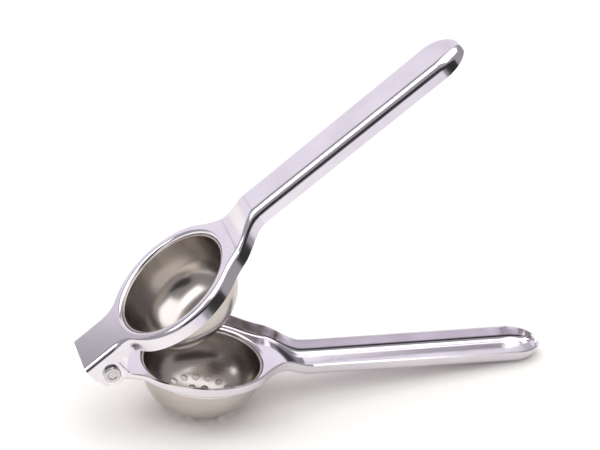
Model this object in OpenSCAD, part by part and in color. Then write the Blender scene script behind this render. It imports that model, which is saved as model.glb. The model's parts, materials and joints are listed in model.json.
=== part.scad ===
// Citrus press juicer: two pressed-sheet levers hinged on one rivet.
// The upper lever carries a solid press bowl, the lower one a perforated strainer bowl.
// Both levers are channels with the same outline, and their open sides face each other.
//
// Lever frame: the rivet's axis is the origin, s runs along the lever towards its tip,
// w runs across it and h points up when the levers are closed.
// Part frame: +X towards the tip of the lower lever, +Y across, +Z up, z = 0 is the table.

/* [Levers] */
// Length of a lever from its hinge end to the tip of its handle
arm_len = 205; // [180:1:250]
// Thickness of the lever's sheet
arm_t = 1; // [0.8:0.1:1.4]
// Distance from the rivet's axis back to the hinge end of the upper lever
hinge_back = 7.2; // [6.8:0.1:9]
// Height of each channel's outer face from its midway plane, where the closed levers meet
face_k = 7; // [6.5:0.1:9]
// Height of the rivet's axis below the upper lever's midway plane
axis_drop = 2.2; // [1.8:0.1:2.6]
// Height of the channel's wall round the bowl, from the outer face to the free edge
ring_wall = 5.8; // [4.5:0.1:6]
// Outside radius of the channel's fold round the bowl
fold_r = 2.8; // [2:0.1:3.2]
// Lean of the channel's walls from upright
wall_draft = 17; // [5:1:20]

/* [Handle] */
// Width of the handle across its free edges, at the tip's end
handle_w = 23; // [20:0.5:28]
// How much narrower the handle is at its neck
neck_taper = 1.4; // [0:0.1:3]
// Height of the handle's channel, from the outer face to the free edge
handle_wall = 6.5; // [5:0.1:8]
// Outside radius of the channel's fold along the handle
handle_fold_r = 4.5; // [2.8:0.1:4.6]
// Outward step of the handle's face past the bowl ring's face
handle_step = 6.2; // [3:0.1:8]
// Flat length between the mouth's rounded edge and that step
neck_land = 2.9; // [1:0.1:10]
// Length of the step along the lever
step_len = 17; // [14:0.5:24]
// Length of the rounded scoop at the tip
scoop_len = 13; // [9:0.5:18]
// Depth that is left of the channel at the very tip
lip_h = 1.4; // [1.2:0.1:3]

/* [Bowls] */
// Inside diameter of the press bowl's mouth
mouth_d = 50; // [40:1:66]
// Thickness of the bowls' sheet
bowl_t = 0.9; // [0.7:0.1:1.2]
// Distance from the rivet's axis to the nearest edge of the mouth
mouth_gap = 17.6; // [17:0.1:24]
// Flat ring between the mouth's rounded edge and the fold
land_w = 1; // [0.6:0.1:3]
// Rounding of the lever's sheet where it turns into the mouth
mouth_r = 1.6; // [1.5:0.1:2.4]
// Length of the turned collar that holds the bowl, from the lever's face
collar_h = 3; // [2.6:0.1:4]
// How far the bowl's rim sits inside the collar
rim_sink = 1.2; // [0.6:0.1:2]
// Depth of the press bowl from the lever's face
press_depth = 25.3; // [20:0.1:27]
// Corner radius of the press bowl
press_corner = 15; // [10:0.5:18]
// Lean of the press bowl's wall
press_lean = 11; // [6:0.5:13]
// Depth of the strainer bowl from the lever's face
strainer_depth = 22.5; // [21:0.1:26]
// Corner radius of the strainer bowl
strainer_corner = 19; // [14:0.5:19.5]
// Lean of the strainer bowl's wall
strainer_lean = 5; // [3:0.5:8]

/* [Strainer holes] */
// Diameter of each drain hole
drain_d = 2.8; // [2:0.1:3.4]
// Distance between the rings of drain holes
drain_pitch = 5.2; // [4.6:0.1:5.6]
// Rings of drain holes round the middle one
drain_rings = 3; // [2:1:3]

/* [Hinge] */
// Radius of the rivet's shank
shank_r = 2.9; // [2:0.1:3.5]
// How far the rivet's heads reach past its shank
head_lip = 0.8; // [0.8:0.1:1.4]
// Height of the made head
head_h = 1.7; // [1.5:0.1:3.5]
// Height of the peened head
peen_h = 1.8; // [1:0.1:2.6]
// Radial clearance of the upper lever on the shank
shank_gap = 0.05; // [0.02:0.01:0.09]
// Side gap between the levers' ears
ear_gap = 0.3; // [0.2:0.05:0.5]
// Side gap under the rivet's heads
head_gap = 0.1; // [0.05:0.05:0.3]
// Half of the upper lever's width over its ears
ear_w = 12.7; // [11.5:0.1:14]
// Radius of the upper lever's ear
ear_r = 6.3; // [5.8:0.1:6.6]
// Radius of the lower lever's lug
lug_r = 5.5; // [5:0.1:5.8]
// Distance from the rivet's axis back to the heel of the lower lever
heel_back = 6.3; // [6.2:0.1:7]
// Wall of the sleeve on the shank between the lower lever's lugs
sleeve_t = 0.6; // [0.6:0.1:1.4]
// Gap between the sleeve and the lower lever's floor
floor_gap = 0.3; // [0.2:0.1:1]
// Gap between each end of the sleeve and the lug beside it
sleeve_gap = 0.2; // [0.2:0.05:0.5]

/* [Pose] */
// Angle between the levers, as stored
open_angle = 42.5; // [0:0.5:100]

/* [Hidden] */

steel = "lightgrey";
bright = "silver";

// Bowls and their collars; the lower lever's floor clears the sleeve, and tray_mid is where
// its own midway plane then lies
bowl_s = mouth_gap + mouth_d / 2;
bowl_r = mouth_d / 2 + bowl_t;
hole_r = bowl_r + mouth_r;
ring_r = hole_r + land_w + fold_r * cos(wall_draft);
upper_face_h = axis_drop + face_k;
tray_floor_h = -(shank_r + sleeve_t + floor_gap);
tray_mid = tray_floor_h - arm_t + face_k;
corner_parts = 14;

// Outline: the ring's circle, a hollow arc to the hinge neck and one to the handle
neck_arc = 12;
waist_arc = 40;
tip_s = arm_len - hinge_back;
step_start = bowl_s + hole_r + neck_land;
step_end = step_start + step_len;
scoop_s = tip_s - scoop_len;
scoop_turn = 76;
scoop_axis = scoop_len / sin(scoop_turn);
handle_k = face_k + handle_step;
fold_drop = handle_fold_r * (1 - sin(wall_draft));
handle_lean = (handle_wall - fold_drop) * tan(wall_draft);
tip_half = handle_w / 2 - handle_lean;
waist_half = tip_half - neck_taper / 2;
lug_w = ear_w - arm_t - ear_gap;
lower_fold = 1.6;

// Hinge end: the ear's front slope, its slits and where the walls start to lean
slope_s = 12;
slope_from = 4.6;
slit_w = 0.9;
slit_s = 5.1;
slit_top = 1.6;
notch_r = 0.7;
corner_h = 1;
dip_s = 9.5;
dip_h = -2.1;
lug_s = 4;
lug_fall = 1.6;
lean_from = 7;
lean_to = 22;
rise_to = 30;
edge_k = face_k - ring_wall;
handle_edge_k = handle_k - handle_wall;

function lerp(a, b, q) = a + (b - a) * q;
function clamp(q) = min(1, max(0, q));
function smooth(q) = let (c = clamp(q)) c * c * (3 - 2 * c);

// Distance along the lever from the bowl's centre to a hollow arc's centre
function arc_reach(arc, half) = sqrt(pow(ring_r + arc, 2) - pow(half + arc, 2));
// Half width of a hollow arc that leaves the straight part (half) at centre distance c
function hollow(d, arc, half) = half + arc - sqrt(max(0, arc * arc - d * d));

// Half width of the fold at s; neck is the half width at the hinge
function fold_half(s, neck) =
    let (
        near = arc_reach(neck_arc, neck),
        far = arc_reach(waist_arc, waist_half),
        near_turn = near * ring_r / (ring_r + neck_arc),
        far_turn = far * ring_r / (ring_r + waist_arc),
        d = s - bowl_s
    )
    d < -near ? neck
    : d < -near_turn ? hollow(d + near, neck_arc, neck)
    : d < far_turn ? sqrt(ring_r * ring_r - d * d)
    : d < far ? hollow(d - far, waist_arc, waist_half)
    : s < scoop_s ? lerp(waist_half, tip_half, (s - bowl_s - far) / (scoop_s - bowl_s - far))
    : tip_half * scoop_share(s);

// Height of the outer face and of the free edge above the midway plane
function scoop_share(s) = s < scoop_s ? 1 : sqrt(1 - pow((s - scoop_s) / scoop_axis, 2));
function step_share(s) = smooth((s - step_start) / step_len);
function ring_edge(s) = lerp(edge_k, handle_edge_k, step_share(s));
function face_at(s) =
    let (full = lerp(face_k, handle_k, step_share(s)))
    s < scoop_s ? full : handle_edge_k + lip_h + (handle_wall - lip_h) * scoop_share(s);

function upper_edge_h(s) =
    s < -ear_r ? corner_h
    : s < slope_from ? -sqrt(max(0, ear_r * ear_r - s * s))
    : lerp(-sqrt(ear_r * ear_r - slope_from * slope_from), edge_k + axis_drop,
           (s - slope_from) / (slope_s - slope_from));
function upper_edge(s) = s < slope_s ? upper_edge_h(s) - axis_drop : ring_edge(s);

function lower_edge_h(s) =
    s < -lug_r ? lerp(tray_floor_h + lower_fold, 0, (s + heel_back) / (heel_back - lug_r))
    : s < lug_s ? sqrt(max(0, lug_r * lug_r - s * s))
    : s < dip_s ? dip_h + (sqrt(lug_r * lug_r - lug_s * lug_s) - dip_h)
                  * pow(1 - (s - lug_s) / (dip_s - lug_s), lug_fall)
    : lerp(dip_h, tray_mid - edge_k, smooth((s - dip_s) / (rise_to - dip_s)));
function lower_edge(s) = s < rise_to ? tray_mid - lower_edge_h(s) : ring_edge(s);

// One cross-section of a channel's outer surface at s, from free edge to free edge
fold_parts = 4;
wall_share = 0.7;
width_share = 0.8;
function half_section(s, k, edge, half, r0, draft) =
    let (
        r = min(r0, (k - edge) * wall_share, half * width_share),
        turn = 90 - draft,
        flat = half - r * cos(draft),
        fold_k = k - r * (1 - sin(draft))
    )
    concat(
        [[s, half + (fold_k - edge) * tan(draft), edge]],
        [for (i = [fold_parts:-1:0]) let (a = turn * i / fold_parts)
            [s, flat + r * sin(a), k - r + r * cos(a)]]
    );
function mirrored(points) = [for (i = [len(points) - 1:-1:0]) [points[i].x, -points[i].y, points[i].z]];
function section(s, upper) =
    let (
        edge = upper ? upper_edge(s) : lower_edge(s),
        half = fold_half(s, upper ? ear_w : lug_w),
        lean = smooth((s - lean_from) / (lean_to - lean_from)),
        draft = wall_draft * lean,
        r0 = s < step_start ? lerp(upper ? fold_r : lower_fold, fold_r, lean)
             : lerp(fold_r, handle_fold_r, step_share(s)),
        right = half_section(s, face_at(s), edge, half, r0, draft)
    )
    concat(right, mirrored(right));

// Stations along the lever, close together where the outline turns
scoop_parts = 11;
edge_strip = 0.02;
function span(a, b, n) = [for (i = [0:n - 1]) lerp(a, b, i / n)];
function round_span(r, to, n) = let (end = acos(-to / r)) [for (i = [0:n - 1]) -r * cos(end * i / n)];
function common_stations() = concat(
    span(slope_s, lean_to, 5),
    span(lean_to, rise_to, 8),
    span(rise_to, step_start, 16),
    span(step_start, step_end, 12),
    span(step_end, scoop_s, 6),
    [for (i = [0:scoop_parts]) scoop_s + scoop_axis * sin(scoop_turn * i / scoop_parts)]
);
upper_stations = concat(
    [-hinge_back, -ear_r - edge_strip],
    round_span(ear_r, slope_from, 20),
    span(slope_from, slope_s, 7),
    common_stations()
);
lower_stations = concat(
    [-heel_back, lerp(-heel_back, -lug_r, 0.5)],
    round_span(lug_r, lug_s, 18),
    span(lug_s, dip_s, 7),
    span(dip_s, slope_s, 2),
    common_stations()
);

// A sheet of even thickness whose outer surface runs through a grid of points
function unit(v) = v / norm(v);
function grid_normal(g, i, j) =
    let (
        a = g[min(i + 1, len(g) - 1)][j] - g[max(i - 1, 0)][j],
        b = g[i][min(j + 1, len(g[0]) - 1)] - g[i][max(j - 1, 0)]
    )
    unit(cross(b, a));
function inner_grid(g, t) =
    [for (i = [0:len(g) - 1]) [for (j = [0:len(g[0]) - 1]) g[i][j] - t * grid_normal(g, i, j)]];
function both_ways(a, b, c, d) = [[a, b, c], [a, c, d]];

module sheet(outer, t, side) {
    rows = len(outer);
    cols = len(outer[0]);
    inner = inner_grid(outer, t);
    points = [for (g = [outer, inner]) for (row = g) for (p = row) [p.x, p.y, side * p.z]];
    skin = rows * cols;
    function at(i, j) = i * cols + j;
    faces = concat(
        [for (i = [0:rows - 2]) for (j = [0:cols - 2])
            for (f = both_ways(at(i, j), at(i, j + 1), at(i + 1, j + 1), at(i + 1, j))) f],
        [for (i = [0:rows - 2]) for (j = [0:cols - 2])
            for (f = both_ways(skin + at(i, j), skin + at(i + 1, j),
                               skin + at(i + 1, j + 1), skin + at(i, j + 1))) f],
        [for (i = [0:rows - 2])
            for (f = both_ways(at(i, 0), at(i + 1, 0), skin + at(i + 1, 0), skin + at(i, 0))) f],
        [for (i = [0:rows - 2]) let (j = cols - 1)
            for (f = both_ways(at(i, j), skin + at(i, j), skin + at(i + 1, j), at(i + 1, j))) f],
        [for (j = [0:cols - 2])
            for (f = both_ways(at(0, j), skin + at(0, j), skin + at(0, j + 1), at(0, j + 1))) f],
        [for (j = [0:cols - 2]) let (i = rows - 1)
            for (f = both_ways(at(i, j), at(i, j + 1), skin + at(i, j + 1), skin + at(i, j))) f]
    );
    flipped = [for (f = faces) [f[0], f[2], f[1]]];
    polyhedron(points, side > 0 ? flipped : faces, convexity = 8);
}

upper_grid = [for (s = upper_stations) section(s, true)];
lower_grid = [for (s = lower_stations) section(s, false)];

// Turned collar: a rounded edge from the lever's face into an upright wall, face at z = 0
collar_parts = 6;
land_overlap = 0.4;
module collar() {
    turns = [for (i = [0:collar_parts]) 90 * i / collar_parts];
    inside_r = mouth_r - arm_t;
    rotate_extrude($fn = 120)
        polygon(concat(
            [[hole_r + land_overlap, 0]],
            [for (a = turns) [hole_r - mouth_r * sin(a), -mouth_r + mouth_r * cos(a)]],
            [[bowl_r, -collar_h], [bowl_r + arm_t, -collar_h]],
            [for (a = turns) [hole_r - inside_r * cos(a), -mouth_r + inside_r * sin(a)]],
            [[hole_r + land_overlap, -arm_t]]
        ));
}

// A bowl's corner fits under its collar, and its flat bottom is what the corner and wall leave
function fit_corner(depth, corner) = min(corner, depth - collar_h, bowl_r);
function flat_r(depth, corner, lean) =
    max(0, bowl_r - corner * cos(lean) - (depth - collar_h - corner + corner * sin(lean)) * tan(lean));

// Drawn bowl with the lever's face at z = 0 and its rim sunk into the collar
module bowl(depth, round_r, lean) {
    corner = fit_corner(depth, round_r);
    bottom = flat_r(depth, corner, lean);
    turns = [for (i = [0:corner_parts]) lerp(-lean, -90, i / corner_parts)];
    back = [for (i = [0:corner_parts]) lerp(-90, -lean, i / corner_parts)];
    inside = corner - bowl_t;
    rotate_extrude($fn = 120)
        polygon(concat(
            [[bowl_r - bowl_t, -rim_sink], [bowl_r, -rim_sink], [bowl_r, -collar_h]],
            [for (a = turns) [bottom + corner * cos(a), corner - depth + corner * sin(a)]],
            [[0, -depth], [0, bowl_t - depth]],
            [for (a = back) [bottom + inside * cos(a), corner - depth + inside * sin(a)]],
            [[bowl_r - bowl_t, -collar_h]]
        ));
}

// Pose: the strainer bowl's corner and the lower handle both stand on the table
foot_r = fit_corner(strainer_depth, strainer_corner);
strainer_flat = flat_r(strainer_depth, foot_r, strainer_lean);
foot_s = bowl_s + strainer_flat;
foot_h = tray_floor_h - strainer_depth + foot_r;
function support_angle(s, h) =
    atan2(h - foot_h, s - foot_s) + asin(foot_r / norm([s - foot_s, h - foot_h]));
rest_tilt = min([for (s = lower_stations) if (s > step_end) support_angle(s, tray_mid - face_at(s))]);
lift = rest_tilt - open_angle;
axis_z = foot_s * sin(rest_tilt) - foot_h * cos(rest_tilt) + foot_r;
function reach(s, h, tilt) = s * cos(tilt) + h * sin(tilt);
reaches = concat(
    [for (row = upper_grid) for (p = row) reach(p.x, axis_drop + p.z, lift)],
    [for (row = lower_grid) for (p = row) reach(p.x, tray_mid - p.z, rest_tilt)]
);
axis_x = -(min(reaches) + max(reaches)) / 2;

module placed(tilt) {
    translate([axis_x, 0, axis_z]) rotate([0, tilt, 0]) children();
}
module at_bowl(h) {
    translate([bowl_s, 0, h]) children();
}
module across(r, half) {
    rotate([90, 0, 0]) cylinder(r = r, h = 2 * half, center = true, $fn = 64);
}

module mouth_cut(h) {
    at_bowl(h - 2 * arm_t) cylinder(r = hole_r, h = 3 * arm_t, $fn = 120);
}

// Slits that free the ear's edge: one up its front, one notch at its back
module ear_slits() {
    depth = ear_w + arm_t;
    rotate([90, 0, 0]) linear_extrude(2 * depth, center = true) {
        translate([slit_s, -ear_r]) square([slit_w, ear_r + slit_top]);
        translate([slit_s + slit_w / 2, slit_top]) circle(d = slit_w, $fn = 24);
        translate([-ear_r - notch_r, corner_h - notch_r]) circle(r = notch_r, $fn = 24);
    }
}

module upper_arm() color(steel) placed(lift) difference() {
    union() {
        difference() {
            translate([0, 0, axis_drop]) sheet(upper_grid, arm_t, 1);
            mouth_cut(upper_face_h);
        }
        at_bowl(upper_face_h) collar();
    }
    across(shank_r + shank_gap, ear_w + arm_t);
    ear_slits();
}

module press_bowl() color(bright) placed(lift)
    at_bowl(upper_face_h) bowl(press_depth, press_corner, press_lean);

module lower_arm() color(steel) placed(rest_tilt) difference() {
    union() {
        difference() {
            translate([0, 0, tray_mid]) sheet(lower_grid, arm_t, -1);
            mouth_cut(tray_floor_h);
        }
        at_bowl(tray_floor_h) collar();
    }
    across(shank_r, ear_w);
}

// Drain holes go square through the bowl: upright in its flat, leaning with its corner
module drain_holes() {
    for (ring = [0:drain_rings])
        for (i = [0:max(0, 6 * ring - 1)]) {
            out = ring * drain_pitch;
            turn = out > strainer_flat ? asin((out - strainer_flat) / foot_r) : 0;
            rotate(i * 60 / max(1, ring))
                translate([min(out, strainer_flat), 0, foot_r - strainer_depth])
                    rotate([0, -turn, 0])
                        translate([0, 0, -foot_r - bowl_t])
                            cylinder(d = drain_d, h = 3 * bowl_t, $fn = 24);
        }
}

module strainer_bowl() color(bright) placed(rest_tilt) at_bowl(tray_floor_h) difference() {
    bowl(strainer_depth, strainer_corner, strainer_lean);
    drain_holes();
}

// Rivet: a made head on the near side, with a shallow dish, and a peened head on the far side
head_r = shank_r + head_lip;
dish_rim = 1.6;
dish_r = head_r - dish_rim;
dish_h = 0.4;
head_chamfer = 0.5;
peen_parts = 8;
module hinge_rivet() {
    seat = ear_w + head_gap;
    top = seat + head_h;
    color(bright) placed(rest_tilt) rotate([90, 0, 0]) rotate_extrude($fn = 64)
        polygon(concat(
            [[0, top - dish_h], [dish_r - dish_h, top - dish_h], [dish_r, top]],
            [[head_r - head_chamfer, top], [head_r, top - head_chamfer], [head_r, seat]],
            [[shank_r, seat], [shank_r, -seat]],
            [for (i = [0:peen_parts]) let (a = 90 * i / peen_parts)
                [head_r * cos(a), -seat - peen_h * sin(a)]]
        ));
}

module hinge_sleeve() color(bright) placed(rest_tilt) difference() {
    across(shank_r + sleeve_t, lug_w - arm_t - sleeve_gap);
    across(shank_r, lug_w);
}

upper_arm();
press_bowl();
lower_arm();
strainer_bowl();
hinge_rivet();
hinge_sleeve();
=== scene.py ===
import json
import math

import bpy
import bmesh
from mathutils import Matrix, Vector


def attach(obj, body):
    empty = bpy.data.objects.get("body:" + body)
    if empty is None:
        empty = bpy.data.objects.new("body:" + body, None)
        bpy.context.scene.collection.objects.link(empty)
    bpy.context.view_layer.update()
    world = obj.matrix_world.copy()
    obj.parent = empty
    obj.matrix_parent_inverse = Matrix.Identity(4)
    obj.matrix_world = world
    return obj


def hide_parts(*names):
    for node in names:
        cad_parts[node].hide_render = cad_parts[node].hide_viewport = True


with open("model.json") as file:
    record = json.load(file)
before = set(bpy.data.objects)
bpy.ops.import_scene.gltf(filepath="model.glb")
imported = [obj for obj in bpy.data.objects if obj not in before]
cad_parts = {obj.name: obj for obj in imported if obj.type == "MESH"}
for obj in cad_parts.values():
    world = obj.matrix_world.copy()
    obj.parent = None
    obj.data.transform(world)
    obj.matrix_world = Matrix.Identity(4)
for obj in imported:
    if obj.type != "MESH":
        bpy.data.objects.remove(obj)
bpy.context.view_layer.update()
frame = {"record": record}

# ---------------------------------------------------------------- upper lever
# One sheet of stainless steel, pressed into a channel that opens downwards and polished.
# It has a ring round the mouth of the press bowl, a step at the neck and a scooped handle tip,
# and its end walls go down past the rivet as the hinge's outer ears.
MM = 0.001
record = frame["record"]
hinge = record["behaviour"]["joints"][0]
axis_at = Vector(hinge["pos_m"])
foot_out = record["mounts"][0]["axis"]
rest_tilt = math.atan2(-foot_out[0], -foot_out[2])
open_angle = math.radians(42.5)

sheet_t = 1.0
hinge_back = 7.2
lever_len = 205.0
face_k = 7.0
axis_drop = 2.2
ring_wall = 5.8
fold_r = 2.8
handle_fold_r = 4.5
wall_lean = math.radians(17)
mouth_gap = 17.6
mouth_r = 25.0
bowl_t = 0.9
mouth_edge = 1.6
land_w = 1.0
collar_h = 3.0
neck_land = 2.9
step_len = 17.0
step_up = 6.2
handle_w = 23.0
neck_taper = 1.4
handle_wall = 6.5
scoop_len = 13.0
lip_h = 1.4
ear_half = 12.7
ear_r = 6.3
slope_from = 4.6
slope_to = 12.0
corner_h = 1.0
neck_arc = 12.0
waist_arc = 40.0

bowl_s = mouth_gap + mouth_r
bowl_r = mouth_r + bowl_t
hole_r = bowl_r + mouth_edge
ring_r = hole_r + land_w + fold_r * math.cos(wall_lean)
edge_k = face_k - ring_wall
handle_k = face_k + step_up
handle_edge_k = handle_k - handle_wall
fold_drop = handle_fold_r * (1 - math.sin(wall_lean))
tip_half = handle_w / 2 - (handle_wall - fold_drop) * math.tan(wall_lean)
waist_half = tip_half - neck_taper / 2
tip_s = lever_len - hinge_back
step_from = bowl_s + hole_r + neck_land
step_to = step_from + step_len
scoop_from = tip_s - scoop_len
scoop_turn = math.radians(76)
scoop_axis = scoop_len / math.sin(scoop_turn)
lean_from, lean_to = 7.0, 22.0
wall_share, width_share = 0.7, 0.8


def mix(a, b, q):
    return a + (b - a) * q


def ease(q):
    q = min(1.0, max(0.0, q))
    return q * q * (3 - 2 * q)


def root(x):
    return math.sqrt(max(0.0, x))


def hollow(d, arc, half):
    return half + arc - root(arc * arc - d * d)


def fold_half(s, neck):
    """Half width of the channel's fold at s: ring, hollow arcs to neck and handle, round tip."""
    near = root((ring_r + neck_arc) ** 2 - (neck + neck_arc) ** 2)
    far = root((ring_r + waist_arc) ** 2 - (waist_half + waist_arc) ** 2)
    near_turn = near * ring_r / (ring_r + neck_arc)
    far_turn = far * ring_r / (ring_r + waist_arc)
    d = s - bowl_s
    if d < -near:
        return neck
    if d < -near_turn:
        return hollow(d + near, neck_arc, neck)
    if d < far_turn:
        return root(ring_r ** 2 - d * d)
    if d < far:
        return hollow(d - far, waist_arc, waist_half)
    if s < scoop_from:
        straight = scoop_from - bowl_s - far
        return mix(waist_half, tip_half, (d - far) / straight)
    return tip_half * scoop_share(s)


def scoop_share(s):
    return 1.0 if s < scoop_from else root(1 - ((s - scoop_from) / scoop_axis) ** 2)


def step_share(s):
    return ease((s - step_from) / step_len)


def face_at(s):
    if s < scoop_from:
        return mix(face_k, handle_k, step_share(s))
    return handle_edge_k + lip_h + (handle_wall - lip_h) * scoop_share(s)


def ring_edge(s):
    return mix(edge_k, handle_edge_k, step_share(s))


def upper_edge(s):
    """Free edge of the upper channel: ear disc, sloped front of the ear, then level."""
    if s < -ear_r:
        return corner_h - axis_drop
    disc = root(ear_r ** 2 - slope_from ** 2)
    if s < slope_from:
        return -root(ear_r ** 2 - s * s) - axis_drop
    if s < slope_to:
        q = (s - slope_from) / (slope_to - slope_from)
        return mix(-disc - axis_drop, edge_k, q)
    return ring_edge(s)


def cross_section(s, edge, half, first_r):
    """Outer surface of a channel at s, from one free edge to the other."""
    k = face_at(s)
    lean = ease((s - lean_from) / (lean_to - lean_from))
    draft = wall_lean * lean
    fold = mix(mix(first_r, fold_r, lean), handle_fold_r, step_share(s))
    r = min(fold, (k - edge) * wall_share, half * width_share)
    flat = half - r * math.cos(draft)
    fold_k = k - r * (1 - math.sin(draft))
    wall_parts, fold_parts = 3, 12
    right = []
    foot = half + (fold_k - edge) * math.tan(draft)
    for i in range(wall_parts):
        q = i / wall_parts
        right.append((s, mix(foot, half, q), mix(edge, fold_k, q)))
    for i in range(fold_parts, -1, -1):
        a = (math.pi / 2 - draft) * i / fold_parts
        right.append((s, flat + r * math.sin(a), k - r + r * math.cos(a)))
    return right + [(x, -w, z) for x, w, z in reversed(right)]


def spread(a, b, n):
    return [mix(a, b, i / n) for i in range(n)]


def round_spread(r, to, n):
    end = math.acos(-to / r)
    return [-r * math.cos(end * i / n) for i in range(n)]


def shared_stations():
    stations = spread(slope_to, lean_to, 8) + spread(lean_to, step_from, 50)
    stations += spread(step_from, step_to, 34) + spread(step_to, scoop_from, 14)
    parts = 26
    for i in range(parts + 1):
        stations.append(scoop_from + scoop_axis * math.sin(scoop_turn * i / parts))
    return stations


def lever_mesh(name, stations, edge_at, neck, side, first_r):
    """Outer skin of a lever in its own frame: a grid of cross-sections with a round mouth in the flat."""
    bm = bmesh.new()
    rows = []
    for s in stations:
        points = cross_section(s, edge_at(s), fold_half(s, neck), first_r)
        rows.append([bm.verts.new((x, w, axis_drop + side * k)) for x, w, k in points])
    columns = len(rows[0])
    middle = columns // 2 - 1
    clear = 0.6
    before = max(i for i, s in enumerate(stations) if s < bowl_s - hole_r - clear)
    after = min(i for i, s in enumerate(stations) if s > bowl_s + hole_r + clear)
    for i in range(len(rows) - 1):
        for j in range(columns - 1):
            if j == middle and before <= i < after:
                continue
            bm.faces.new((rows[i][j], rows[i][j + 1], rows[i + 1][j + 1], rows[i + 1][j]))
    rims = mouth_rings(bm, side)
    border = [rows[i][middle] for i in range(before, after + 1)]
    border += [rows[i][middle + 1] for i in range(after, before - 1, -1)]
    edges = [edge_between(bm, a, b) for a, b in zip(border, border[1:] + border[:1])]
    edges += [edge_between(bm, a, b) for a, b in zip(rims[0], rims[0][1:] + rims[0][:1])]
    bmesh.ops.triangle_fill(bm, edges=edges, use_beauty=True)
    bmesh.ops.recalc_face_normals(bm, faces=bm.faces)
    top = max(bm.faces, key=lambda f: side * f.calc_center_median().z)
    if top.normal.z * side < 0:
        bmesh.ops.reverse_faces(bm, faces=bm.faces)
    mesh = bpy.data.meshes.new(name)
    bm.to_mesh(mesh)
    bm.free()
    return mesh


def edge_between(bm, a, b):
    return bm.edges.get((a, b)) or bm.edges.new((a, b))


def mouth_rings(bm, side):
    """Rounded edge and upright collar of the mouth, as rings of vertices from the flat inwards."""
    around, turns = 160, 10
    rounding = mouth_edge if side > 0 else mouth_edge - sheet_t
    down = -1 if side > 0 else 1
    path = []
    for i in range(turns + 1):
        a = math.pi / 2 * i / turns
        path.append((hole_r - rounding * math.sin(a), face_k + down * rounding * (1 - math.cos(a))))
    end_k = face_k - collar_h if side > 0 else face_k - sheet_t + collar_h
    path += [(path[-1][0], mix(path[-1][1], end_k, q)) for q in (0.5, 1.0)]
    rings = []
    for r, k in path:
        ring = []
        for i in range(around):
            a = math.tau * i / around
            place = (bowl_s + r * math.cos(a), r * math.sin(a), axis_drop + side * k)
            ring.append(bm.verts.new(place))
        rings.append(ring)
    for inner, outer in zip(rings, rings[1:]):
        for i in range(around):
            n = (i + 1) % around
            bm.faces.new((inner[i], inner[n], outer[n], outer[i]))
    return rings


def to_scene(name, mesh):
    obj = bpy.data.objects.new(name, mesh)
    bpy.context.scene.collection.objects.link(obj)
    return obj


def settle(obj, name):
    """Applies an object's modifiers and keeps the plain mesh under the piece's own name."""
    bpy.context.view_layer.update()
    evaluated = obj.evaluated_get(bpy.context.evaluated_depsgraph_get())
    mesh = bpy.data.meshes.new_from_object(evaluated)
    mesh.name = name
    old = obj.data
    bpy.data.objects.remove(obj)
    bpy.data.meshes.remove(old)
    return to_scene(name, mesh)


def lever_to_part(tilt):
    return Matrix.Translation(axis_at) @ Matrix.Rotation(tilt, 4, "Y") @ Matrix.Scale(MM, 4)


def thicken(obj, thickness, edge_round):
    solid = obj.modifiers.new("sheet", "SOLIDIFY")
    solid.thickness = thickness
    solid.offset = -1
    solid.use_even_offset = True
    bevel = obj.modifiers.new("deburred edge", "BEVEL")
    bevel.width = edge_round
    bevel.segments = 3
    bevel.limit_method = "ANGLE"
    bevel.angle_limit = math.radians(50)
    bevel.harden_normals = False


def smooth_metal(obj, sharp=40):
    obj.data.polygons.foreach_set("use_smooth", [True] * len(obj.data.polygons))
    obj.data.set_sharp_from_angle(angle=math.radians(sharp))
    even = obj.modifiers.new("even shading", "WEIGHTED_NORMAL")
    even.keep_sharp = True
    even.weight = 60


def rod(name, r, start, end, sides=64):
    """A plain cutter: a rod across the lever, in the lever's frame."""
    bm = bmesh.new()
    turn = Matrix.Rotation(math.pi / 2, 4, "X")
    place = Matrix.Translation((start[0], 0, start[1]))
    bmesh.ops.create_cone(bm, cap_ends=True, segments=sides, radius1=r, radius2=r,
                          depth=end, matrix=place @ turn)
    mesh = bpy.data.meshes.new(name)
    bm.to_mesh(mesh)
    bm.free()
    return to_scene(name, mesh)


def slot_cutter(name, s, width, low, high, depth):
    """A cutter for a slit with a round top, across the lever."""
    bm = bmesh.new()
    outline = [(s - width / 2, low), (s + width / 2, low)]
    for i in range(13):
        a = math.pi * i / 12
        outline.append((s + width / 2 * math.cos(a), high + width / 2 * math.sin(a)))
    face = bm.faces.new([bm.verts.new((x, -depth / 2, z)) for x, z in outline])
    moved = bmesh.ops.extrude_face_region(bm, geom=[face])["geom"]
    bmesh.ops.translate(bm, vec=(0, depth, 0), verts=[v for v in moved if isinstance(v, bmesh.types.BMVert)])
    bmesh.ops.recalc_face_normals(bm, faces=bm.faces)
    mesh = bpy.data.meshes.new(name)
    bm.to_mesh(mesh)
    bm.free()
    return to_scene(name, mesh)


def cut(obj, cutters):
    for cutter in cutters:
        hole = obj.modifiers.new(cutter.name, "BOOLEAN")
        hole.operation = "DIFFERENCE"
        hole.solver = "EXACT"
        hole.object = cutter


def finish_lever(name, mesh, cutters, tilt):
    obj = to_scene(name + "_skin", mesh)
    thicken(obj, sheet_t, 0.22)
    cut(obj, cutters)
    cut_obj = settle(obj, name + "_cut")
    smooth_metal(cut_obj)
    piece = settle(cut_obj, name)
    piece.data.transform(lever_to_part(tilt))
    for cutter in cutters:
        bpy.data.objects.remove(cutter)
    return piece


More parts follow.
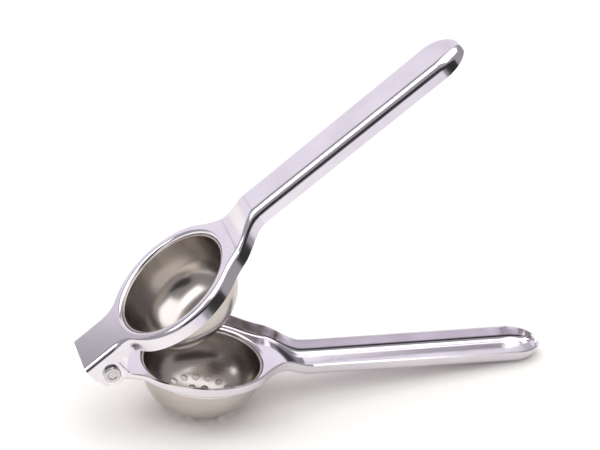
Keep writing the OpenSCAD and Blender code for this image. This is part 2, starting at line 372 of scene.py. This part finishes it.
upper_stations = [-hinge_back, -ear_r - 0.02] + round_spread(ear_r, slope_from, 56)
upper_stations += spread(slope_from, slope_to, 16) + shared_stations()
shank_r, shank_gap = 2.9, 0.05
slit_s, slit_w, slit_top = 5.55, 0.9, 1.6
notch_r = 0.7
across = 2 * ear_half + 4
cutters = [
    rod("upper bore", shank_r + shank_gap, (0, 0), across),
    slot_cutter("ear slit", slit_s, slit_w, -ear_r, slit_top, across),
    rod("ear notch", notch_r, (-ear_r - notch_r, corner_h - notch_r), across, 24),
]
skin = lever_mesh("upper_lever", upper_stations, upper_edge, ear_half, 1, fold_r)
upper_lever = finish_lever("upper_lever", skin, cutters, rest_tilt - open_angle)
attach(upper_lever, "upper_lever")
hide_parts("upper_arm")

# ---------------------------------------------------------------- lower lever
# The same pressing turned over, so that its channel is a tray that catches the juice.
# Its end walls are lower and rounded over the rivet, and stand inside the upper lever's ears.
ear_gap = 0.3
heel_back = 6.3
lug_r = 5.5
lug_fold = 1.6
lug_s, lug_fall = 4.0, 1.6
dip_s, dip_h = 9.5, -2.1
rise_to = 30.0
lug_half = ear_half - sheet_t - ear_gap
tray_floor = axis_drop - face_k + sheet_t


def lower_edge(s):
    """Free edge of the lower channel: heel, round lug, dip in front of it, then level."""
    lug_top = root(lug_r ** 2 - lug_s ** 2)
    if s < -lug_r:
        h = mix(tray_floor + lug_fold, 0, (s + heel_back) / (heel_back - lug_r))
    elif s < lug_s:
        h = root(lug_r ** 2 - s * s)
    elif s < dip_s:
        h = dip_h + (lug_top - dip_h) * (1 - (s - lug_s) / (dip_s - lug_s)) ** lug_fall
    elif s < rise_to:
        h = mix(dip_h, axis_drop - edge_k, ease((s - dip_s) / (rise_to - dip_s)))
    else:
        return ring_edge(s)
    return axis_drop - h


lower_stations = spread(-heel_back, -lug_r, 4) + round_spread(lug_r, lug_s, 52)
lower_stations += spread(lug_s, dip_s, 16) + spread(dip_s, slope_to, 6) + shared_stations()
skin = lever_mesh("lower_lever", lower_stations, lower_edge, lug_half, -1, lug_fold)
cutters = [rod("lower bore", shank_r, (0, 0), across)]
lower_lever = finish_lever("lower_lever", skin, cutters, rest_tilt)
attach(lower_lever, "lower_lever")
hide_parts("lower_arm")

# ---------------------------------------------------------------- press bowl
# A plain drawn bowl of thin steel that presses the fruit: leaning wall, round corner, flat bottom.
# Its rim is rounded and sits inside the collar of the upper lever.
rim_sink = 1.2
press_depth, press_corner, press_lean = 25.3, 15.0, math.radians(11)
bowl_sides = 192


def flat_radius(depth, corner, lean):
    fall = depth - collar_h - corner + corner * math.sin(lean)
    return max(0.0, bowl_r - corner * math.cos(lean) - fall * math.tan(lean))


def bowl_profile(depth, corner, lean):
    """Half section of a bowl from the middle of its inside, over the rim, to the middle outside.

    Each point is (radius, height below the lever's face, normal outwards)."""
    bottom = flat_radius(depth, corner, lean)
    middle = corner - depth
    corner_parts, rim_parts, flat_parts, wall_parts = 28, 8, 5, 6
    outside = []
    for i in range(flat_parts):
        outside.append((bottom * i / flat_parts, -depth, (0, -1)))
    for i in range(corner_parts + 1):
        a = -math.pi / 2 + (math.pi / 2 - lean) * i / corner_parts
        facing = (math.cos(a), math.sin(a))
        outside.append((bottom + corner * facing[0], middle + corner * facing[1], facing))
    foot = outside[-1]
    for i in range(1, wall_parts + 1):
        q = i / wall_parts
        a = -lean * (1 - ease(q))
        outside.append((mix(foot[0], bowl_r, q), mix(foot[1], -collar_h, q),
                        (math.cos(a), math.sin(a))))
    half = bowl_t / 2
    inside = []
    for r, z, (out, up) in outside:
        inside.append((max(0.0, r - bowl_t * out), z - bowl_t * up, (-out, -up)))
    rim = []
    for i in range(rim_parts + 1):
        a = math.pi * i / rim_parts
        facing = (-math.cos(a), math.sin(a))
        rim.append((bowl_r - half + half * facing[0], -rim_sink - half + half * facing[1], facing))
    return inside + rim + outside[::-1]


def lathe(name, profile, sides, closed=False):
    """Turns a half section round the vertical axis through the origin; points at radius 0 are poles."""
    bm = bmesh.new()
    rings = []
    for point in profile:
        r, z = point[0], point[1]
        if r < 1e-6:
            rings.append([bm.verts.new((0, 0, z))])
            continue
        turns = [math.tau * i / sides for i in range(sides)]
        rings.append([bm.verts.new((r * math.cos(a), r * math.sin(a), z)) for a in turns])
    pairs = list(zip(rings, rings[1:]))
    if closed:
        pairs.append((rings[-1], rings[0]))
    for a, b in pairs:
        for i in range(sides):
            n = (i + 1) % sides
            corners = [a[i % len(a)], a[n % len(a)], b[n % len(b)], b[i % len(b)]]
            corners = list(dict.fromkeys(corners))
            if len(corners) > 2:
                bm.faces.new(corners)
    bmesh.ops.recalc_face_normals(bm, faces=bm.faces)
    mesh = bpy.data.meshes.new(name)
    bm.to_mesh(mesh)
    bm.free()
    mesh.polygons.foreach_set("use_smooth", [True] * len(mesh.polygons))
    return mesh


def bowl_normal(place, profile):
    """Exact normal of a bowl at a point, or None where the point isn't on its surface."""
    r, z = math.hypot(place.x, place.y), place.z
    best, facing = 0.02, None
    for a, b in zip(profile, profile[1:]):
        dr, dz = b[0] - a[0], b[1] - a[1]
        length = dr * dr + dz * dz
        if length < 1e-9:
            continue
        q = min(1.0, max(0.0, ((r - a[0]) * dr + (z - a[1]) * dz) / length))
        off = math.hypot(r - a[0] - q * dr, z - a[1] - q * dz)
        if off < best:
            best = off
            facing = (mix(a[2][0], b[2][0], q), mix(a[2][1], b[2][1], q))
    if facing is None:
        return None
    turn = Vector((place.x, place.y, 0)).normalized() if r > 1e-6 else Vector((1, 0, 0))
    return Vector((turn.x * facing[0], turn.y * facing[0], facing[1])).normalized()


def shade_bowl(mesh, profile):
    """Keeps the turned surfaces perfectly round in shading, whatever the holes do to the faces."""
    known = {}
    normals = [corner.vector.copy() for corner in mesh.corner_normals]
    for face in mesh.polygons:
        for corner in face.loop_indices:
            index = mesh.loops[corner].vertex_index
            if index not in known:
                known[index] = bowl_normal(mesh.vertices[index].co, profile)
            exact = known[index]
            if exact is not None and exact.dot(face.normal) > 0.85:
                normals[corner] = exact
    mesh.normals_split_custom_set(normals)


def place_turned(piece, at, tilt):
    """Moves a turned piece's mesh to its place on the lever, and keeps its own radius and height
    as an attribute, so that a finish can run round it."""
    rings = piece.data.attributes.new("grain", "FLOAT_VECTOR", "POINT")
    for i, vertex in enumerate(piece.data.vertices):
        co = vertex.co
        rings.data[i].vector = (0.0, math.hypot(co.x, co.y), co.z)
    piece.data.transform(lever_to_part(tilt) @ at)


press_profile = bowl_profile(press_depth, press_corner, press_lean)
press_bowl = to_scene("press_bowl_shell", lathe("press_bowl_shell", press_profile, bowl_sides))
shade_bowl(press_bowl.data, press_profile)
place_turned(press_bowl, Matrix.Translation((bowl_s, 0, axis_drop + face_k)), rest_tilt - open_angle)
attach(press_bowl, "upper_lever")
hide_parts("press_bowl")

# ---------------------------------------------------------------- strainer bowl
# A deeper-cornered drawn bowl in the lower lever, with rings of drain holes round a middle one.
# Each hole goes square through the sheet and has softly rounded edges.
strainer_depth, strainer_corner, strainer_lean = 22.5, 19.0, math.radians(5)
drain_r, drain_pitch, drain_rings = 1.4, 5.2, 3
strainer_flat = flat_radius(strainer_depth, strainer_corner, strainer_lean)


def drain_cutter():
    """A rod with flared ends that reaches through the bowl's bottom from the corner's centre."""
    soft, flare, reach = 0.28, 0.24, 1.0
    outer, inner = -strainer_corner, -strainer_corner + bowl_t
    profile = [(0, outer - reach), (drain_r + flare, outer - reach)]
    for i in range(7):
        a = math.pi / 2 * i / 6
        profile.append((drain_r + flare * (1 - math.sin(a)), outer + soft * (1 - math.cos(a))))
    for i in range(6, -1, -1):
        a = math.pi / 2 * i / 6
        profile.append((drain_r + flare * (1 - math.sin(a)), inner - soft * (1 - math.cos(a))))
    profile += [(drain_r + flare, inner + reach), (0, inner + reach)]
    return to_scene("drain_cutter", lathe("drain_cutter", profile, 36))


def drain_tree(steel):
    """Rings of holes: hole i is in ring k, every ring k has 6 k of them, each square to the bowl."""
    tree = bpy.data.node_groups.new("drain_holes", "GeometryNodeTree")
    face = tree.interface
    face.new_socket("Bowl", in_out="INPUT", socket_type="NodeSocketGeometry")
    face.new_socket("Cutter", in_out="INPUT", socket_type="NodeSocketObject")
    face.new_socket("Rings", in_out="INPUT", socket_type="NodeSocketInt")
    for name in ("Pitch", "Flat radius", "Corner radius", "Depth"):
        face.new_socket(name, in_out="INPUT", socket_type="NodeSocketFloat")
    face.new_socket("Bowl", in_out="OUTPUT", socket_type="NodeSocketGeometry")
    start = tree.nodes.new("NodeGroupInput")
    end = tree.nodes.new("NodeGroupOutput")

    def feed(value, socket):
        if isinstance(value, bpy.types.NodeSocket):
            tree.links.new(value, socket)
        else:
            socket.default_value = value

    def calc(operation, a, b=0.0):
        node = tree.nodes.new("ShaderNodeMath")
        node.operation = operation
        feed(a, node.inputs[0])
        feed(b, node.inputs[1])
        return node.outputs[0]

    rings = start.outputs["Rings"]
    flat = start.outputs["Flat radius"]
    corner = start.outputs["Corner radius"]
    total = calc("ADD", calc("MULTIPLY", 3.0, calc("MULTIPLY", rings, calc("ADD", rings, 1.0))), 1.0)
    points = tree.nodes.new("GeometryNodePoints")
    feed(total, points.inputs["Count"])
    index = tree.nodes.new("GeometryNodeInputIndex").outputs[0]
    grow = calc("SQRT", calc("MAXIMUM", calc("SUBTRACT", calc("MULTIPLY", 12.0, index), 3.0), 0.0))
    ring = calc("FLOOR", calc("DIVIDE", calc("ADD", grow, 3.0), 6.0))
    ring = calc("MINIMUM", ring, calc("MULTIPLY", index, 1.0))
    before = calc("ADD", calc("MULTIPLY", 3.0, calc("MULTIPLY", ring, calc("SUBTRACT", ring, 1.0))), 1.0)
    place = calc("SUBTRACT", index, before)
    around = calc("MAXIMUM", calc("MULTIPLY", ring, 6.0), 1.0)
    angle = calc("DIVIDE", calc("MULTIPLY", place, math.tau), around)
    out = calc("MULTIPLY", ring, start.outputs["Pitch"])
    over = calc("MAXIMUM", calc("SUBTRACT", out, flat), 0.0)
    turn = calc("ARCSINE", calc("DIVIDE", over, corner))
    level = calc("MINIMUM", out, flat)
    where = tree.nodes.new("ShaderNodeCombineXYZ")
    feed(calc("MULTIPLY", level, calc("COSINE", angle)), where.inputs[0])
    feed(calc("MULTIPLY", level, calc("SINE", angle)), where.inputs[1])
    feed(calc("SUBTRACT", corner, start.outputs["Depth"]), where.inputs[2])
    feed(where.outputs[0], points.inputs["Position"])
    facing = tree.nodes.new("ShaderNodeCombineXYZ")
    feed(calc("MULTIPLY", turn, -1.0), facing.inputs[1])
    feed(angle, facing.inputs[2])
    tool = tree.nodes.new("GeometryNodeObjectInfo")
    feed(start.outputs["Cutter"], tool.inputs["Object"])
    spread_out = tree.nodes.new("GeometryNodeInstanceOnPoints")
    feed(points.outputs[0], spread_out.inputs["Points"])
    feed(tool.outputs["Geometry"], spread_out.inputs["Instance"])
    feed(facing.outputs[0], spread_out.inputs["Rotation"])
    solid = tree.nodes.new("GeometryNodeRealizeInstances")
    feed(spread_out.outputs[0], solid.inputs[0])
    drill = tree.nodes.new("GeometryNodeMeshBoolean")
    drill.operation = "DIFFERENCE"
    drill.solver = "EXACT"
    feed(start.outputs["Bowl"], drill.inputs["Mesh 1"])
    feed(solid.outputs[0], drill.inputs["Mesh 2"])
    whole = tree.nodes.new("GeometryNodeRealizeInstances")
    feed(drill.outputs[0], whole.inputs[0])
    paint = tree.nodes.new("GeometryNodeSetMaterial")
    paint.inputs["Material"].default_value = steel
    feed(whole.outputs[0], paint.inputs["Geometry"])
    feed(paint.outputs[0], end.inputs[0])
    return tree


# This steel, tinted under finishes, is a darker, browner copy of the lever steel: painted shade for the dark
# inside of the deep bowl.
shaded_strainer_steel = bpy.data.materials.new("shaded_strainer_steel")
strainer_profile = bowl_profile(strainer_depth, strainer_corner, strainer_lean)
blank = to_scene("strainer_blank", lathe("strainer_blank", strainer_profile, bowl_sides))
tool = drain_cutter()
holes = blank.modifiers.new("drain holes", "NODES")
holes.node_group = drain_tree(shaded_strainer_steel)
chosen = {"Cutter": tool, "Rings": drain_rings, "Pitch": drain_pitch, "Flat radius": strainer_flat,
          "Corner radius": strainer_corner, "Depth": strainer_depth}
for socket in holes.node_group.interface.items_tree:
    if socket.in_out == "INPUT" and socket.name in chosen:
        holes[socket.identifier] = chosen[socket.name]
strainer_bowl = settle(blank, "strainer_bowl_shell")
bpy.data.objects.remove(tool)
strainer_bowl.data.polygons.foreach_set("use_smooth", [True] * len(strainer_bowl.data.polygons))
strainer_bowl.data.set_sharp_from_angle(angle=math.radians(60))
shade_bowl(strainer_bowl.data, strainer_profile)
place_turned(strainer_bowl, Matrix.Translation((bowl_s, 0, tray_floor)), rest_tilt)
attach(strainer_bowl, "lower_lever")
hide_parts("strainer_bowl")

# ---------------------------------------------------------------- hinge rivet
# One solid rivet through both levers: a turned head with a shallow dish on the near side,
# and a low dome where the far end was peened over.
head_gap, head_lip, head_h, peen_h = 0.1, 0.8, 1.7, 1.8
head_r = shank_r + head_lip
dish_rim = 1.6
dish_r, dish_h, dish_soft, head_chamfer = head_r - dish_rim, 0.4, 0.12, 0.5
seat = ear_half + head_gap
top = seat + head_h


def rounded(points, radius, parts=4):
    """A half section with each inner corner rounded off."""
    path = [points[0]]
    for before, here, after in zip(points, points[1:], points[2:]):
        back, ahead = Vector(before) - Vector(here), Vector(after) - Vector(here)
        cut_back = min(radius, back.length * 0.45, ahead.length * 0.45)
        start = Vector(here) + back.normalized() * cut_back
        stop = Vector(here) + ahead.normalized() * cut_back
        for i in range(parts + 1):
            q = i / parts
            path.append(tuple(start.lerp(Vector(here), q).lerp(Vector(here).lerp(stop, q), q)))
    return path + [points[-1]]


rivet_profile = rounded([
    (0, top - dish_h), (dish_r - dish_h, top - dish_h), (dish_r, top),
    (head_r - head_chamfer, top), (head_r, top - head_chamfer), (head_r, seat),
    (shank_r, seat), (shank_r, -seat), (head_r, -seat),
    (head_r * 0.97, -seat - peen_h * 0.3), (head_r * 0.84, -seat - peen_h * 0.62),
    (head_r * 0.6, -seat - peen_h * 0.86), (head_r * 0.3, -seat - peen_h * 0.98), (0, -seat - peen_h),
], dish_soft)
hinge_rivet = to_scene("rivet_body", lathe("rivet_body", rivet_profile, 96))
smooth_metal(hinge_rivet, 32)
hinge_rivet = settle(hinge_rivet, "rivet_body")
place_turned(hinge_rivet, Matrix.Rotation(math.pi / 2, 4, "X"), rest_tilt)
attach(hinge_rivet, "lower_lever")
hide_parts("hinge_rivet")

# ---------------------------------------------------------------- hinge sleeve
# A thin tube on the rivet between the lower lever's lugs, which keeps them apart.
# Its ends are broken by small chamfers and stop just short of the lugs.
sleeve_t, sleeve_gap, sleeve_soft = 0.6, 0.2, 0.12
sleeve_end = lug_half - sheet_t - sleeve_gap
sleeve_r = shank_r + sleeve_t
tube = []
for r, z in ((shank_r, -1), (sleeve_r, -1), (sleeve_r, 1), (shank_r, 1)):
    inward = sleeve_soft if r == sleeve_r else -sleeve_soft
    ends = [(r - inward, z * sleeve_end), (r, z * (sleeve_end - sleeve_soft))]
    tube += ends if (z < 0) == (r == sleeve_r) else ends[::-1]
hinge_sleeve = to_scene("rivet_sleeve", lathe("rivet_sleeve", tube, 96, closed=True))
smooth_metal(hinge_sleeve, 32)
hinge_sleeve = settle(hinge_sleeve, "rivet_sleeve")
place_turned(hinge_sleeve, Matrix.Rotation(math.pi / 2, 4, "X"), rest_tilt)
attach(hinge_sleeve, "lower_lever")
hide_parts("hinge_sleeve")

# ---------------------------------------------------------------- finishes
# Polished stainless steel: fine grain along the levers and round the bowls, soft haze,
# sparse scratches, and brighter metal where edges have been rubbed.


def keep_grain(piece, tilt):
    """Writes each point's place on its lever, in millimetres, for the grain to follow."""
    back = lever_to_part(tilt).inverted()
    grain = piece.data.attributes.new("grain", "FLOAT_VECTOR", "POINT")
    for i, vertex in enumerate(piece.data.vertices):
        grain.data[i].vector = back @ vertex.co


keep_grain(upper_lever, rest_tilt - open_angle)
keep_grain(lower_lever, rest_tilt)


def surface_group():
    """Grain, haze and scratches from a place in millimetres: three masks from 0 to 1."""
    tree = bpy.data.node_groups.new("worn_metal", "ShaderNodeTree")
    tree.interface.new_socket("Place", in_out="INPUT", socket_type="NodeSocketVector")
    for name in ("Grain", "Haze", "Scratches"):
        tree.interface.new_socket(name, in_out="OUTPUT", socket_type="NodeSocketFloat")
    start = tree.nodes.new("NodeGroupInput")
    end = tree.nodes.new("NodeGroupOutput")

    def noise(scale, detail, stretch, turn=0.0):
        mapping = tree.nodes.new("ShaderNodeMapping")
        mapping.inputs["Scale"].default_value = stretch
        mapping.inputs["Rotation"].default_value = (0, 0, turn)
        tree.links.new(start.outputs["Place"], mapping.inputs["Vector"])
        field = tree.nodes.new("ShaderNodeTexNoise")
        field.inputs["Scale"].default_value = scale
        field.inputs["Detail"].default_value = detail
        tree.links.new(mapping.outputs["Vector"], field.inputs["Vector"])
        return field.outputs[0]

    def span(value, low, high):
        ranged = tree.nodes.new("ShaderNodeMapRange")
        ranged.inputs["From Min"].default_value = low
        ranged.inputs["From Max"].default_value = high
        tree.links.new(value, ranged.inputs["Value"])
        return ranged.outputs["Result"]

    tree.links.new(span(noise(1.0, 3, (0.06, 3.2, 3.2)), 0.3, 0.7), end.inputs["Grain"])
    tree.links.new(span(noise(0.06, 4, (1, 1, 1)), 0.35, 0.68), end.inputs["Haze"])
    tree.links.new(span(noise(1.0, 1, (0.05, 1.6, 1.6), 0.5), 0.72, 0.78), end.inputs["Scratches"])
    return tree


worn_metal = surface_group()


def steel_finish(material, tint, worn_tint, rough, relief):
    """One steel: two tints mixed by haze, roughness from rough[0] to rough[1], relief in metres."""
    material.use_nodes = True
    tree = material.node_tree
    tree.nodes.clear()
    output = tree.nodes.new("ShaderNodeOutputMaterial")
    shader = tree.nodes.new("ShaderNodeBsdfPrincipled")
    shader.inputs["Metallic"].default_value = 1.0
    tree.links.new(shader.outputs[0], output.inputs["Surface"])
    grain = tree.nodes.new("ShaderNodeAttribute")
    grain.attribute_name = "grain"
    metal = tree.nodes.new("ShaderNodeGroup")
    metal.node_tree = worn_metal
    tree.links.new(grain.outputs["Vector"], metal.inputs["Place"])

    def calc(operation, a, b):
        node = tree.nodes.new("ShaderNodeMath")
        node.operation = operation
        node.use_clamp = True
        for value, socket in ((a, node.inputs[0]), (b, node.inputs[1])):
            if isinstance(value, bpy.types.NodeSocket):
                tree.links.new(value, socket)
            else:
                socket.default_value = value
        return node.outputs[0]

    form = tree.nodes.new("ShaderNodeNewGeometry")
    edge = tree.nodes.new("ShaderNodeMapRange")
    edge.inputs["From Min"].default_value = 0.52
    edge.inputs["From Max"].default_value = 0.62
    tree.links.new(form.outputs["Pointiness"], edge.inputs["Value"])
    blend = tree.nodes.new("ShaderNodeMix")
    blend.data_type = "RGBA"
    blend.inputs[6].default_value = (*tint, 1)
    blend.inputs[7].default_value = (*worn_tint, 1)
    tree.links.new(metal.outputs["Haze"], blend.inputs[0])
    rubbed = tree.nodes.new("ShaderNodeMix")
    rubbed.data_type = "RGBA"
    rubbed.inputs[7].default_value = (*[min(1.0, c * 1.12) for c in tint], 1)
    tree.links.new(blend.outputs[2], rubbed.inputs[6])
    tree.links.new(calc("MULTIPLY", edge.outputs["Result"], 0.6), rubbed.inputs[0])
    tree.links.new(rubbed.outputs[2], shader.inputs["Base Color"])
    uneven = calc("ADD", calc("MULTIPLY", metal.outputs["Grain"], 0.45),
                  calc("MULTIPLY", metal.outputs["Haze"], 0.55))
    ranged = tree.nodes.new("ShaderNodeMapRange")
    ranged.inputs["To Min"].default_value = rough[0]
    ranged.inputs["To Max"].default_value = rough[1]
    tree.links.new(uneven, ranged.inputs["Value"])
    tree.links.new(calc("ADD", ranged.outputs["Result"], calc("MULTIPLY", metal.outputs["Scratches"], 0.08)),
                   shader.inputs["Roughness"])
    bump = tree.nodes.new("ShaderNodeBump")
    bump.inputs["Strength"].default_value = 0.35
    bump.inputs["Distance"].default_value = relief
    tree.links.new(metal.outputs["Grain"], bump.inputs["Height"])
    tree.links.new(bump.outputs["Normal"], shader.inputs["Normal"])
    return material


def paint(piece, material):
    piece.data.materials.clear()
    piece.data.materials.append(material)


lever_steel = steel_finish(bpy.data.materials.new("polished_lever_steel"),
                           (0.80, 0.77, 0.81), (0.74, 0.71, 0.75), (0.10, 0.17), 0.000003)
# The press bowl's steel is a darker, browner copy of the lever steel: painted shade standing in for the dark
# inside of the deep bowl.
shaded_press_steel = steel_finish(bpy.data.materials.new("painted_shade_bowl_steel"),
                           (0.54, 0.50, 0.47), (0.48, 0.445, 0.415), (0.19, 0.27), 0.0000025)
# Painted shade: the strainer's darker, browner tint stands in for the shade inside the bowl.
steel_finish(shaded_strainer_steel, (0.56, 0.52, 0.48), (0.50, 0.46, 0.425), (0.21, 0.30), 0.0000025)
rivet_steel = steel_finish(bpy.data.materials.new("turned_rivet_steel"),
                           (0.62, 0.61, 0.60), (0.54, 0.53, 0.52), (0.16, 0.26), 0.000005)
for piece, steel in (
    (upper_lever, lever_steel), (lower_lever, lever_steel), (press_bowl, shaded_press_steel),
    (strainer_bowl, shaded_strainer_steel), (hinge_rivet, rivet_steel), (hinge_sleeve, rivet_steel),
):
    paint(piece, steel)

# ---------------------------------------------------------------- floor, light and camera
# A pale matt floor, wide soft lights, and a dark card in front that gives the polished
# metal its dark lines. From below the floor is clear.
floor_mesh = bpy.data.meshes.new("floor")
far = 6.0
floor_mesh.from_pydata([(-far, -far, 0), (far, -far, 0), (far, far, 0), (-far, far, 0)], [], [(0, 1, 2, 3)])
floor = to_scene("floor", floor_mesh)
pale = bpy.data.materials.new("pale_floor")
pale.use_nodes = True
tree = pale.node_tree
matt = tree.nodes["Principled BSDF"]
matt.inputs["Base Color"].default_value = (0.96, 0.94, 0.905, 1)
matt.inputs["Roughness"].default_value = 0.8
matt.inputs["Specular IOR Level"].default_value = 0.15
side = tree.nodes.new("ShaderNodeNewGeometry")
clear = tree.nodes.new("ShaderNodeBsdfTransparent")
either = tree.nodes.new("ShaderNodeMixShader")
tree.links.new(side.outputs["Backfacing"], either.inputs[0])
tree.links.new(matt.outputs[0], either.inputs[1])
tree.links.new(clear.outputs[0], either.inputs[2])
tree.links.new(either.outputs[0], tree.nodes["Material Output"].inputs["Surface"])
floor_mesh.materials.append(pale)

world = bpy.data.worlds.new("soft_room")
bpy.context.scene.world = world
world.use_nodes = True
world.node_tree.nodes["Background"].inputs[0].default_value = (0.93, 0.91, 0.96, 1)
world.node_tree.nodes["Background"].inputs[1].default_value = 0.42


def aim(obj, at, target):
    obj.location = at
    obj.rotation_euler = (Vector(target) - Vector(at)).to_track_quat("-Z", "Y").to_euler()


def soft_light(name, at, size, power, target=(0, 0, 0.06), tint=(1, 1, 1), mirrored=True):
    light = bpy.data.lights.new(name, "AREA")
    light.shape = "RECTANGLE"
    light.size, light.size_y = size
    light.energy = power
    light.color = tint
    lamp = bpy.data.objects.new(name, light)
    bpy.context.scene.collection.objects.link(lamp)
    lamp.visible_glossy = mirrored
    aim(lamp, at, target)


def dark_card(name, at, size, target=(0, 0, 0.06)):
    """A matt black panel that only reflections see."""
    x, y = size[0] / 2, size[1] / 2
    mesh = bpy.data.meshes.new(name)
    mesh.from_pydata([(-x, -y, 0), (x, -y, 0), (x, y, 0), (-x, y, 0)], [], [(0, 1, 2, 3)])
    card = to_scene(name, mesh)
    aim(card, at, target)
    mesh.materials.append(card_black)
    card.visible_camera = False
    card.visible_diffuse = False
    card.visible_shadow = False


card_black = bpy.data.materials.new("card_black")
card_black.use_nodes = True
card_black.node_tree.nodes["Principled BSDF"].inputs["Base Color"].default_value = (0.02, 0.018, 0.018, 1)
card_black.node_tree.nodes["Principled BSDF"].inputs["Roughness"].default_value = 0.9

middle = (-0.01, 0, 0.08)
soft_light("top softbox", (0.1, 0.1, 1.7), (2.2, 2.0), 24, middle)
soft_light("left softbox", (-1.15, 0.0, 1.2), (0.8, 0.9), 6, middle)
soft_light("back softbox", (0.3, 1.5, 0.61), (2.48, 1.2), 5.8, (0.3, 0, 0.61), (0.94, 0.88, 1.0))
soft_light("low left softbox", (-1.42, 1.5, 0.25), (1.04, 0.48), 0.95, (-1.42, 0, 0.25), (0.94, 0.88, 1.0))
soft_light("front fill", (0.0, -1.6, 1.3), (2.0, 1.5), 8, middle, mirrored=False)
soft_light("front softbox", (-0.55, -1.7, 0.1), (1.5, 0.4), 1.1, (-0.55, 0, 0.1), (0.97, 0.92, 1.0))
dark_card("front dark card", (0.0, -1.25, 0.66), (2.8, 0.66), middle)

azimuth, elevation, distance = math.radians(-16.44), math.radians(30.46), 0.96297
look_at = Vector((-0.0069, 0, 0.0821))
back = Vector((math.sin(azimuth) * math.cos(elevation), -math.cos(azimuth) * math.cos(elevation),
               math.sin(elevation)))
lens = bpy.data.cameras.new("camera")
lens.sensor_width = 36
lens.lens = 137.74
camera = bpy.data.objects.new("camera", lens)
bpy.context.scene.collection.objects.link(camera)
aim(camera, look_at + back * distance, look_at)
bpy.context.scene.camera = camera
bpy.context.scene.view_settings.view_transform = "Standard"
